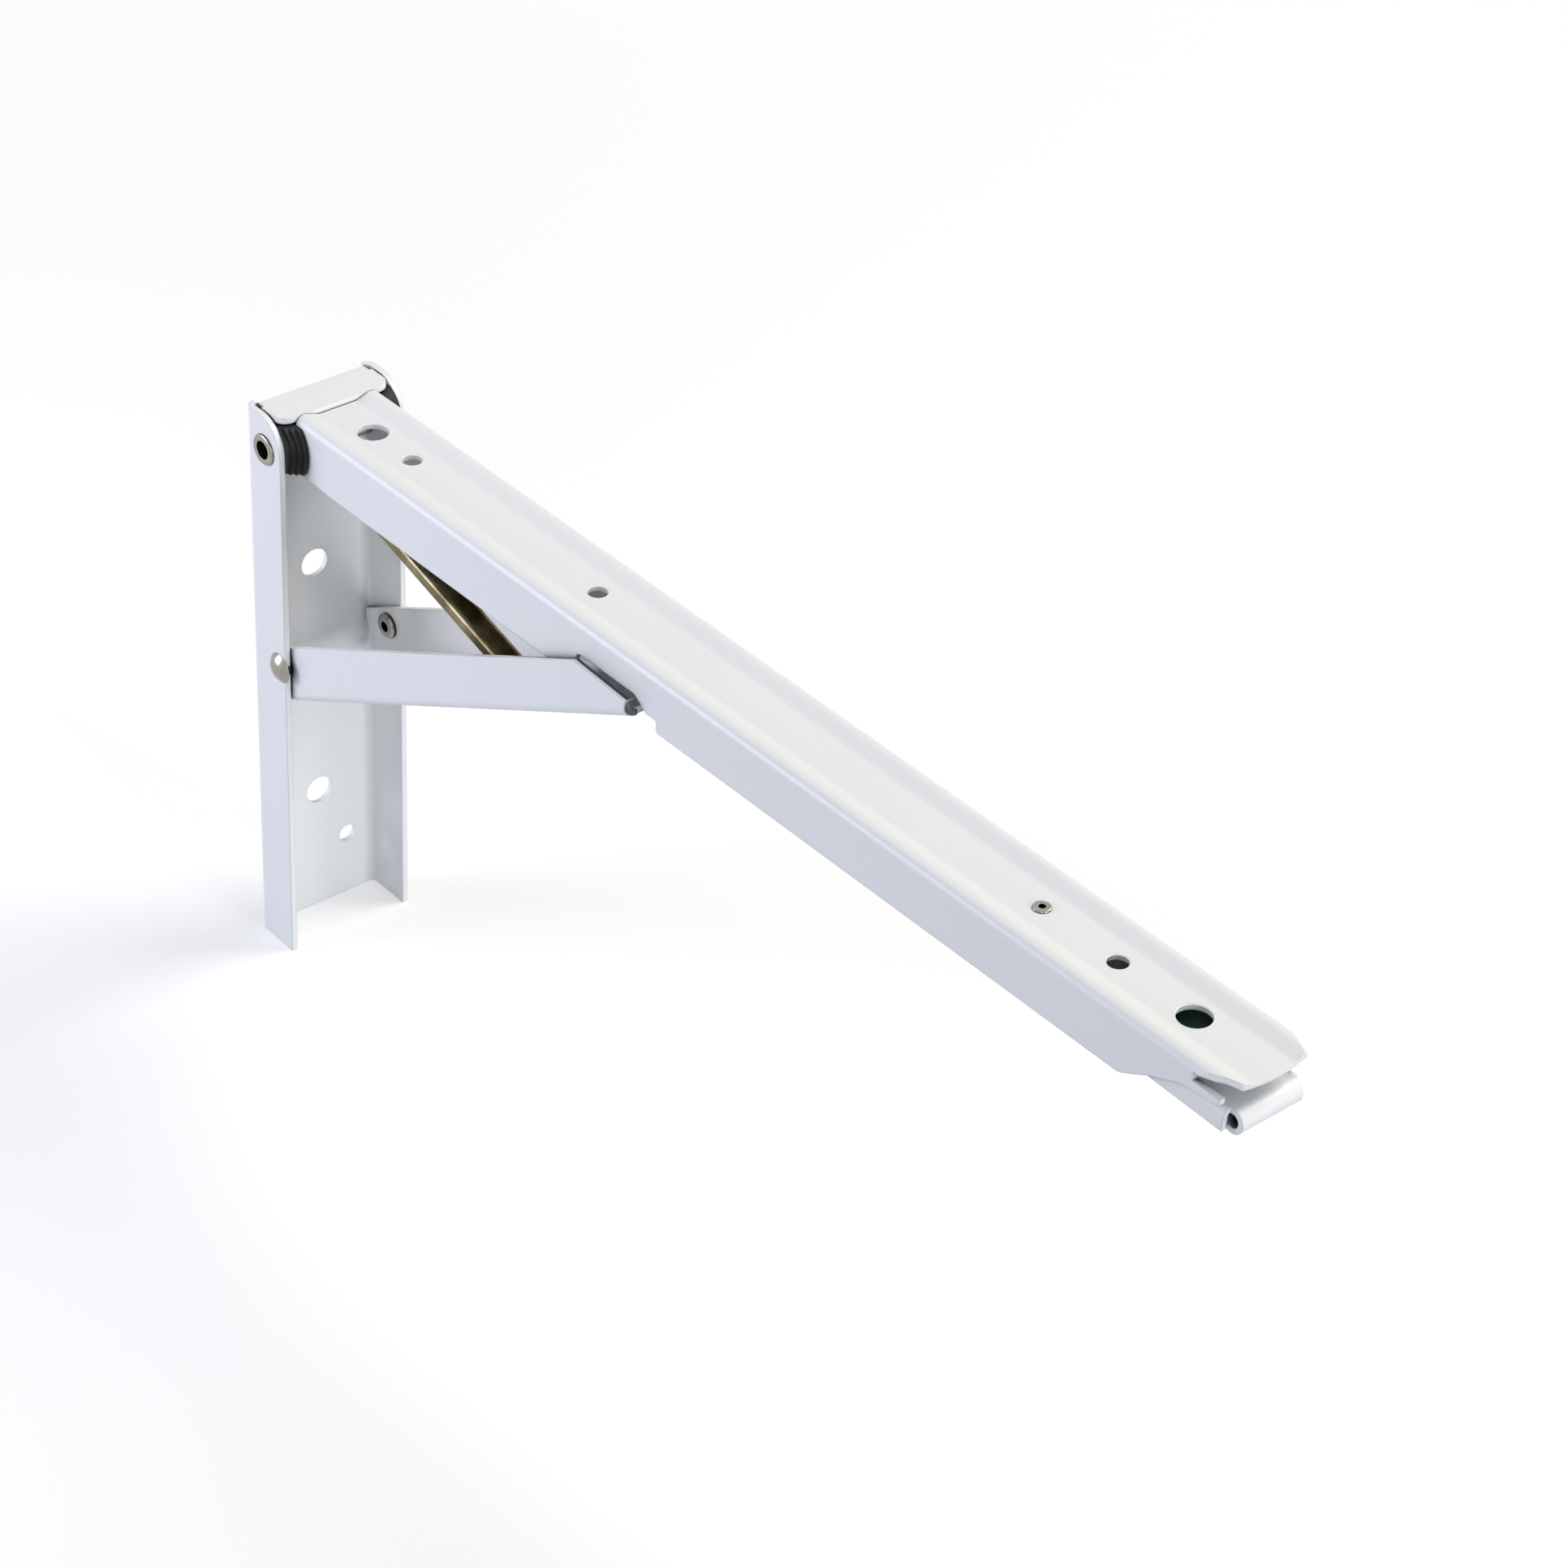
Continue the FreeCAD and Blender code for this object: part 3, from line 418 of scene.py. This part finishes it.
# %% Turn a tree into a piece
def grow(name, tree, base, inputs, body):
    maker = bpy.data.objects.new(name + "_maker", base)
    bpy.context.scene.collection.objects.link(maker)
    modifier = maker.modifiers.new("shape", "NODES")
    modifier.node_group = tree
    for identifier, value in inputs.items():
        modifier[identifier] = value
    scene_graph = bpy.context.evaluated_depsgraph_get()
    mesh = bpy.data.meshes.new_from_object(maker.evaluated_get(scene_graph))
    mesh.shade_smooth()
    bpy.data.objects.remove(maker)
    piece = bpy.data.objects.new(name, mesh)
    bpy.context.scene.collection.objects.link(piece)
    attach(piece, body)
    print(name, "has", len(mesh.polygons), "faces")
    return piece


# %% [markdown]
# The record's mounts say where the screws and bolts go, so the rims take their centres and radii from them.
# Only the height of a rim is worked out here, from the sheet's face that it sits on.

# %% Where the holes are
mounts = {mount["name"]: mount for mount in frame["record"]["mounts"]}
bead_radius = 0.22 * mm
bead_sink = 0.8 * bead_radius
dish_depth = 1.2 * mm
arm_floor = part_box("support_arm")[1][2] - dish_depth
plate_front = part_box("wall_plate")[0][0] + sheet


def screw_holes(names):
    return [(Vector(mounts[name]["pos_m"]), mounts[name]["dims"]["r_mm"] * mm) for name in names]


def bolt_holes(name, direction, spacing):
    sizes = mounts[name]["dims"]
    half = Vector(direction) * sizes[spacing] * mm / 2
    middle = Vector(mounts[name]["pos_m"])
    return [(centre, sizes["hole_r_mm"] * mm) for centre in (middle - half, middle + half)]


arm_holes = bolt_holes("leaf_bolts", (1, 0, 0), "spacing_x_mm")
arm_holes += screw_holes(["leaf_screw_inner", "leaf_screw_middle", "leaf_screw_outer"])
for centre, _ in arm_holes:
    centre.z = arm_floor - bead_sink
plate_holes = bolt_holes("wall_screws", (0, 0, 1), "spacing_y_mm")
plate_holes += screw_holes(["wall_lower_screw"])
for centre, _ in plate_holes:
    centre.x = plate_front - bead_sink
print(len(arm_holes), "holes in the arm,", len(plate_holes), "in the plate")

# %% Rims on the arm and the plate
def hole_points(name, holes):
    base = bpy.data.meshes.new(name)
    base.from_pydata([centre for centre, _ in holes], [], [])
    attribute = base.attributes.new("hole_radius", "FLOAT", "POINT")
    attribute.data.foreach_set("value", [radius for _, radius in holes])
    return base


quarter_turn = math.pi / 2
grow("arm_hole_rims", rim_tree, hole_points("arm_hole_centres", arm_holes),
     {rim_sockets["Bead radius"]: bead_radius, rim_sockets["Tilt"]: 0.0},
     "arm_body")
grow("plate_hole_rims", rim_tree, hole_points("plate_hole_centres", plate_holes),
     {rim_sockets["Bead radius"]: bead_radius, rim_sockets["Tilt"]: quarter_turn},
     "wall_body")

# %% [markdown]
# ## Lever spring
# A short coil spring pushes the lever's lip down. A Screw modifier could turn a circle into a coil, but a
# coil is one wire that follows a helix, so the tree sweeps the wire's section along a spiral and keeps its
# sizes as inputs. When the lever is pressed the coil flattens against the arm.

# %% The spring
low, high = (Vector(corner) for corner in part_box("lever_spring"))
wire_radius = 0.35 * mm
coil_radius = 3.1 * mm
coil_turns = 2.75
coil_height = high.z - low.z - 2 * wire_radius
seat = Vector(((low.x + high.x) / 2, (low.y + high.y) / 2, low.z + wire_radius))
coil_tree, given, coil_sockets = shape_tree("coil_spring", ["Coil radius", "Wire radius", "Height"])
helix = add(coil_tree, "GeometryNodeCurveSpiral", {"Resolution": 32, "Rotations": coil_turns,
                                                   "Start Radius": given["Coil radius"],
                                                   "End Radius": given["Coil radius"],
                                                   "Height": given["Height"]})
section = add(coil_tree, "GeometryNodeCurvePrimitiveCircle", {"Resolution": 12,
                                                              "Radius": given["Wire radius"]})
swept = add(coil_tree, "GeometryNodeCurveToMesh", {"Curve": helix.outputs["Curve"],
                                                   "Profile Curve": section.outputs["Curve"],
                                                   "Fill Caps": True})
moved = add(coil_tree, "GeometryNodeTransform", {"Geometry": swept.outputs["Mesh"], "Translation": seat})
real = add(coil_tree, "GeometryNodeRealizeInstances", {"Geometry": moved.outputs["Geometry"]})
dressed = add(coil_tree, "GeometryNodeSetMaterial", {"Geometry": real.outputs["Geometry"],
                                                     "Material": spring_wire})
add(coil_tree, "NodeGroupOutput", {"Geometry": dressed.outputs["Geometry"]})
spring = grow("coil_return_spring", coil_tree, bpy.data.meshes.new("spring_base"),
              {coil_sockets["Coil radius"]: coil_radius, coil_sockets["Wire radius"]: wire_radius,
               coil_sockets["Height"]: coil_height}, "arm_body")
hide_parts("lever_spring")
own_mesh(spring)

# %% [markdown]
# ## Floor
# The bracket stands on its plate in a white studio. A floor that is only painted white comes out grey where
# the lamps are weak, so the camera sees a share of plain white mixed into the paint. The share is small near
# the bracket, which keeps its shadow, and grows to the whole further off, so that the horizon fades. Mirrors
# see plain white, and light that the floor throws back is dimmed, so that the undersides stay shaded.

# %% Floor
def background_rays(tree):
    rays = add(tree, "ShaderNodeLightPath").outputs
    mirrored = add(tree, "ShaderNodeMath", {0: rays["Is Glossy Ray"], 1: rays["Is Transmission Ray"]},
                   operation="MAXIMUM").outputs[0]
    return rays, mirrored


shadow_kept_to, white_from = 0.25, 0.65
floor_half = 6
level = cad_box[0][2]
floor_paint, tree = new_finish("pale_studio_floor")
rays, mirrored = background_rays(tree)
ground = add(tree, "ShaderNodeTexCoord").outputs["Object"]
away = add(tree, "ShaderNodeVectorMath", {0: ground}, operation="LENGTH").outputs["Value"]
white_share = add(tree, "ShaderNodeMapRange", {"Value": away, "From Min": shadow_kept_to,
                                               "From Max": white_from, "To Min": 0.3}).outputs["Result"]
share = add(tree, "ShaderNodeMath", {0: rays["Is Camera Ray"], 1: white_share}, operation="MULTIPLY")
share = add(tree, "ShaderNodeMath", {0: share.outputs[0], 1: mirrored}, operation="MAXIMUM")
paint = add(tree, "ShaderNodeMix", {0: rays["Is Diffuse Ray"], 6: srgb("#FFFFFF"), 7: srgb("#A9AFBC")},
            data_type="RGBA")
matt = add(tree, "ShaderNodeBsdfDiffuse", {"Color": paint.outputs[2]})
glow = add(tree, "ShaderNodeEmission", {"Color": srgb("#FFFFFF"), "Strength": 1.0})
mixed = add(tree, "ShaderNodeMixShader", {0: share.outputs[0], 1: matt.outputs[0], 2: glow.outputs[0]})
add(tree, "ShaderNodeOutputMaterial", {"Surface": mixed.outputs[0]})
corners = [(x * floor_half, y * floor_half, level) for x, y in ((-1, -1), (1, -1), (1, 1), (-1, 1))]
floor_mesh = bpy.data.meshes.new("studio_floor")
floor_mesh.from_pydata(corners, [], [(0, 1, 2, 3)])
floor_mesh.materials.append(floor_paint)
floor = bpy.data.objects.new("studio_floor", floor_mesh)
bpy.context.scene.collection.objects.link(floor)
print("floor at", round(level / mm, 2), "mm")

# %% [markdown]
# ## Light
# The sky is an even dome, white to the camera and to mirrors, and less than half as strong and slightly
# blue as a light. A bright dome alone would leave white paint without form, so four soft lamps model it.
# A wide warm one on the far side lights the tops and casts the shadow. A small cool one at the wall's side
# lets the near faces fade towards the tip. A distant one in front reaches into the plate, and a weak one
# near the camera lifts the faces that look towards it.

# %% Sky
world = bpy.data.worlds.new("studio_sky")
world.use_nodes = True
tree = world.node_tree
tree.nodes.clear()
rays, mirrored = background_rays(tree)
seen = add(tree, "ShaderNodeMath", {0: rays["Is Camera Ray"], 1: mirrored}, operation="MAXIMUM")
dome = add(tree, "ShaderNodeBackground", {"Color": srgb("#ECEFF9"), "Strength": 0.42})
white = add(tree, "ShaderNodeBackground", {"Color": srgb("#FFFFFF"), "Strength": 1.0})
both = add(tree, "ShaderNodeMixShader", {0: seen.outputs[0], 1: dome.outputs[0], 2: white.outputs[0]})
add(tree, "ShaderNodeOutputWorld", {"Surface": both.outputs[0]})
bpy.context.scene.world = world
print("sky nodes:", len(tree.nodes))

# %% Lamps
def lamp(name, place, target, size, watts, tint):
    light = bpy.data.lights.new(name, "AREA")
    light.size = size
    light.energy = watts
    light.color = srgb(tint)[:3]
    holder = bpy.data.objects.new(name, light)
    holder.location = place
    holder.rotation_euler = (Vector(target) - Vector(place)).to_track_quat("-Z", "Y").to_euler()
    bpy.context.scene.collection.objects.link(holder)
    print(name, watts, "W")


lamp("far_side_softbox", (0.45, 1.05, 1.05), (0.15, 0, 0.03), 0.8, 15.2, "#FFF9EA")
lamp("wall_side_softbox", (-0.35, -0.55, 0.25), (0.05, 0, 0.05), 0.4, 3.1, "#EEF1FF")
lamp("front_softbox", (5.0, 0.4, 0.9), (0.0, 0, 0.0), 1.6, 100.0, "#FFFFFF")
lamp("camera_side_softbox", (1.2, -0.9, 0.7), (0.0, 0, 0.0), 0.5, 2.8, "#FFFFFF")

# %% [markdown]
# ## Camera
# The picture was taken from in front and above with a long lens. A camera set by eye would never quite fit,
# so its place and direction were worked out from the bracket's own corners. Its optical axis runs through
# the middle of the frame.

# %% Camera at the picture's angle
camera_place = (0.66545, -0.45135, 0.5395)
right = Vector((0.64396, 0.76359, 0.04733)).normalized()
ahead = Vector((-0.60641, 0.54717, -0.57694)).normalized()
upward = right.cross(ahead).normalized()
lens = bpy.data.cameras.new("picture_camera")
lens.sensor_width = 36.0
lens.sensor_fit = "HORIZONTAL"
lens.lens = 94.94
lens.clip_start = 0.01
camera = bpy.data.objects.new("picture_camera", lens)
turn = Matrix((right, upward, -ahead)).transposed().to_4x4()
camera.matrix_world = Matrix.Translation(camera_place) @ turn
bpy.context.scene.collection.objects.link(camera)
bpy.context.scene.camera = camera
bpy.context.scene.view_settings.view_transform = "Standard"
print("camera", [round(c, 3) for c in camera.location])

# %% [markdown]
# ## End
# Nothing here may make the bracket larger than its measured box.

# %% End
print("done")
